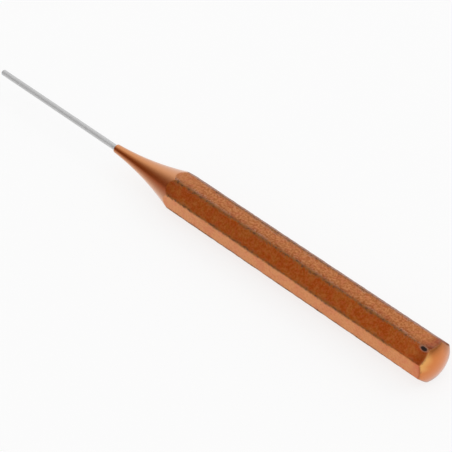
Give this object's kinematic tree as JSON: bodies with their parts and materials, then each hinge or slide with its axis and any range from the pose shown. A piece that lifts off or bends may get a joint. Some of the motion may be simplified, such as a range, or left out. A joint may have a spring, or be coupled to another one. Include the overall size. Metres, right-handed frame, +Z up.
{
  "type": "pin punch",
  "caption": "Long pin punch: octagonal lacquered steel shank with a crowned head, a concave turned neck and a thin bare pin.",
  "frame": {"origin": "centre of the bounding box in plan, on the flat that the shank lies on", "axes": "+X along the punch from the pin's tip to the crowned head; +Z up from the flat it rests on; +Y across the shank"},
  "size_m": [0.15, 0.01, 0.01],
  "materials": {
    "lacquered_steel": "glossy metallic copper-brown lacquer, bare ground steel on the pin"
  },
  "bodies": {
    "root": {"pin_punch": "lacquered_steel"}
  },
  "joints": []
}
